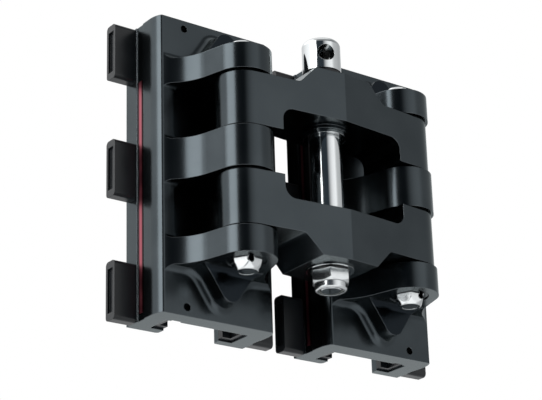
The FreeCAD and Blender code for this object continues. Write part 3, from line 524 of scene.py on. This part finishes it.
anodised, tree, shader = new_material("black_anodised")
shader.inputs["Metallic"].default_value = 1.0
shader.inputs["Specular Tint"].default_value = (0.96, 1.0, 1.0, 1)
cloud_mask = mottled_gloss(tree, shader, scale=35.0, low=0.20, high=0.24)
skin = use(tree, grain, Scale=2600.0, Stretch=0.15, Depth=0.5)
edge = roughen(tree, shader, skin.outputs["Height"], distance=8 * MICRON, radius=0.5 * MM)
print(anodised.name, "has", len(tree.nodes), "nodes so far")

# %% [markdown]
# ## Black anodised aluminium: the colour
#
# The dye is a very dark blue-grey, and one flat colour would do at first sight. But the corners are
# painted a little lighter, partly as wear and partly as a painted highlight, and the inside corners
# darker, as painted shade.
#
# The milled seats beyond the arms, where nuts and bolt heads sit, are painted deep black as well, as
# a painted reflection of the dark space under the arm. The milled seats beyond the arms, where nuts
# and bolt heads sit, look deep black as well, probably because they mirror the dark space under the
# arm. They are found by their place, measured from a hinge nut. Each of the three is a mask that
# blends a further colour over the dye.

# %% Anodised colour
DYE = ((0.046, 0.0545, 0.0595, 1), (0.054, 0.0635, 0.069, 1))
# painted shade: the colour painted into inside corners and pockets
INSIDE_CORNER_SHADE = (0.012, 0.016, 0.020, 1)
# painted shade: near black painted over the milled seats, standing for their dark reflection of the
# space under the arm
MILLED_SEAT_SHADE = (0.014, 0.018, 0.022, 1)
# edges are painted lighter, partly as wear and partly as a painted highlight
WORN_EDGE_AND_HIGHLIGHT = (0.14, 0.155, 0.165, 1)
WEAR_AND_HIGHLIGHT = 0.8
POCKET_REACH = 14 * MM
SEAT_REACH = 14.65 * MM  # how far the seat runs back from the hinge
NUT_SUNK = 0.6 * MM  # how deep the nut sits in its seat, and a little more
BACK_BORDER = 0.4 * MM
ARM_BORDER = 0.5 * MM

nut_low, nut_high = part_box("left_car_hinge_nut")
seat_back = (nut_low.y + nut_high.y) / 2 + SEAT_REACH
seat_start = middle.z - nut_high.z + NUT_SUNK
where = add(tree, "ShaderNodeTexCoord").outputs["Object"]
spot = add(tree, "ShaderNodeSeparateXYZ", Vector=where)
on_tongue = remap(tree, spot.outputs["Y"], seat_back, seat_back - BACK_BORDER)
off_middle = maths(tree, "ABSOLUTE", maths(tree, "SUBTRACT", spot.outputs["Z"], middle.z))
past_arms = remap(tree, off_middle, seat_start, seat_start + ARM_BORDER)
seat_shade = maths(tree, "MULTIPLY", on_tongue, past_arms)
pocket_shade_amount = use(tree, pocket_shade, Reach=POCKET_REACH).outputs["Mask"]

colour = blend_colours(tree, cloud_mask, *DYE)
# inside corners and pockets are painted darker, as painted shade
colour = blend_colours(tree, pocket_shade_amount, colour, INSIDE_CORNER_SHADE)
# the milled seats are painted near black, as painted shade
colour = blend_colours(tree, seat_shade, colour, MILLED_SEAT_SHADE)
# edges painted lighter: partly wear, partly a painted highlight
colour = blend_colours(tree, maths(tree, "MULTIPLY", edge, WEAR_AND_HIGHLIGHT), colour, WORN_EDGE_AND_HIGHLIGHT)
tree.links.new(colour, shader.inputs["Base Color"])
print("the seats start %.1f mm above and below the middle" % (1000 * seat_start))
print(anodised.name, "has", len(tree.nodes), "nodes")

# %% [markdown]
# ## Stainless steel
#
# The pin with its washers and bushes, the bolts and the nuts are stainless. Nearly all that is seen
# in it is a reflection, and only a trace of turning marks breaks it.
#
# Each steel could be built by itself, but they differ in four numbers only, so one recipe makes all
# three: the mirror of the pin, the hinge nuts with their tumbled, rounder corners, and the satin of
# the locknut.

# %% Three stainless steels
STEEL = (0.67, 0.69, 0.695, 1)
# painted shade: the colour painted inside small holes
SMALL_HOLE_SHADE = (0.04, 0.045, 0.05, 1)
HOLE_REACH = 6 * MM


def steel(name, low, high, mark_scale, edge_radius):
    """Bare steel whose gloss wanders between two roughnesses, with painted shade inside its small
    holes.
    """
    material, tree, shader = new_material(name)
    shader.inputs["Metallic"].default_value = 1.0
    mottled_gloss(tree, shader, scale=80.0, low=low, high=high)
    pocket_shade_amount = use(tree, pocket_shade, Reach=HOLE_REACH).outputs["Mask"]
    # small holes are painted dark, as painted shade
    tree.links.new(blend_colours(tree, pocket_shade_amount, STEEL, SMALL_HOLE_SHADE), shader.inputs["Base Color"])
    turning = use(tree, grain, Scale=mark_scale, Stretch=6.0, Depth=0.4)
    roughen(tree, shader, turning.outputs["Height"], distance=4 * MICRON, radius=edge_radius)
    print(name, "has roughness", low, "to", high)
    return material


stainless = steel("polished_stainless", 0.07, 0.13, mark_scale=900.0, edge_radius=0.2 * MM)
hinge_nut_steel = steel("tumbled_stainless", 0.07, 0.13, mark_scale=900.0, edge_radius=0.9 * MM)
locknut_steel = steel("satin_stainless", 0.2, 0.28, mark_scale=1500.0, edge_radius=0.3 * MM)

# %% [markdown]
# ## Blackened steel
#
# The small screws in the face of each car are blackened in a hot bath and slightly oily. Black paint
# would look too dull and too smooth. A dark metal, with a gloss between satin and polish and a fine
# grain, keeps a glint in the socket.

# %% Blackened steel
blackened, tree, shader = new_material("blackened_screws")
shader.inputs["Metallic"].default_value = 1.0
shader.inputs["Base Color"].default_value = (0.03, 0.032, 0.035, 1)
mottled_gloss(tree, shader, scale=90.0, low=0.22, high=0.34)
etching = use(tree, grain, Scale=1500.0, Stretch=1.0, Depth=0.4)
roughen(tree, shader, etching.outputs["Height"], distance=8 * MICRON, radius=0.1 * MM)
print(blackened.name, "has", len(tree.nodes), "nodes")

# %% [markdown]
# ## Moulded plastic
#
# The slide shoes, liners, thrust washers, collars and knuckle bushes are moulded in black plastic.
# It has a fine pebble from the mould, and a weak white shine that grows where it is seen at a slant,
# as on all plastics.
#
# A dark metal would shine too evenly for that. So this is a plain black with a little less shine than
# usual, and with a coarser bump than the metals have.

# %% Plastic finish
PLASTIC_BLACKS = ((0.003, 0.004, 0.005, 1), (0.005, 0.0065, 0.008, 1))

plastic, tree, shader = new_material("moulded_plastic")
shader.inputs["Specular IOR Level"].default_value = 0.4
cloud_mask = mottled_gloss(tree, shader, scale=50.0, low=0.28, high=0.36)
tree.links.new(blend_colours(tree, cloud_mask, *PLASTIC_BLACKS), shader.inputs["Base Color"])
pebble = use(tree, grain, Scale=1800.0, Stretch=1.0, Depth=0.6)
roughen(tree, shader, pebble.outputs["Height"], distance=20 * MICRON, radius=0.4 * MM)
print(plastic.name, "has", len(tree.nodes), "nodes")

# %% [markdown]
# ## The red line
#
# The line in the side groove is a thin red strip. Its middle is painted lighter, as a painted
# highlight, and its edges darker, as painted shade. A plain red stays red in any light, but this line
# turns nearly black between the cars. A metallic red does the same: it shines where it faces the
# bright room and goes dark with it.

# %% Red line
# the edges of the strip are painted darker as painted shade, its middle lighter as a painted
# highlight
LINE_EDGE_SHADE = (0.035, 0.004, 0.008, 1)
LINE_CORE_HIGHLIGHT = (0.34, 0.08, 0.105, 1)
CORE_BORDER = (0.42, 0.15)  # distance from the middle, as a share of the width

red, tree, shader = new_material("red_strip")
shader.inputs["Metallic"].default_value = 1.0
mottled_gloss(tree, shader, scale=120.0, low=0.3, high=0.4)
own_box = add(tree, "ShaderNodeTexCoord").outputs["Generated"]
across = add(tree, "ShaderNodeSeparateXYZ", Vector=own_box)
off_centre = maths(tree, "ABSOLUTE", maths(tree, "SUBTRACT", across.outputs["Y"], 0.5))
# the middle of the strip is painted lighter, as a painted highlight
core_highlight = remap(tree, off_centre, *CORE_BORDER)
tree.links.new(blend_colours(tree, core_highlight, LINE_EDGE_SHADE, LINE_CORE_HIGHLIGHT), shader.inputs["Base Color"])
print(red.name, "has", len(tree.nodes), "nodes")

# %% [markdown]
# ## The nylon ring
#
# The ring that locks the nut is undyed nylon. It is dull, slightly green-grey, and only a thin circle
# of it shows, so a mottled colour with no bump is enough.

# %% Nylon ring
NYLON_GREYS = ((0.10, 0.11, 0.10, 1), (0.14, 0.15, 0.14, 1))

nylon, tree, shader = new_material("nylon_ring")
cloud_mask = mottled_gloss(tree, shader, scale=120.0, low=0.4, high=0.5)
tree.links.new(blend_colours(tree, cloud_mask, *NYLON_GREYS), shader.inputs["Base Color"])
print(nylon.name, "has", len(tree.nodes), "nodes")

# %% [markdown]
# ## Dress the frame
#
# The record of the part names a material slot for every piece. Each piece could be dressed by its
# own name, but a table from slot to finish is shorter and misses none. The hinge nuts and the locknut
# share the slot of the other steel pieces and differ in finish, so they are picked out by name.

# %% Dress the frame
FINISHES = {
    "anodised_aluminium": anodised,
    "stainless_steel": stainless,
    "blackened_steel": blackened,
    "slide_plastic": plastic,
    "red_line": red,
    "nylon": nylon,
}
dressed = {}
for entry in frame["record"]["subparts"]:
    finish = FINISHES[entry["material_slot"]]
    if entry["node"].endswith("hinge_nut"):
        finish = hinge_nut_steel
    if entry["node"] == "pin_locknut":
        finish = locknut_steel
    piece = nodes[entry["node"]]
    piece.data.materials.clear()
    piece.data.materials.append(finish)
    dressed[finish.name] = dressed.get(finish.name, 0) + 1
for name, count in dressed.items():
    print("%2d pieces in %s" % (count, name))
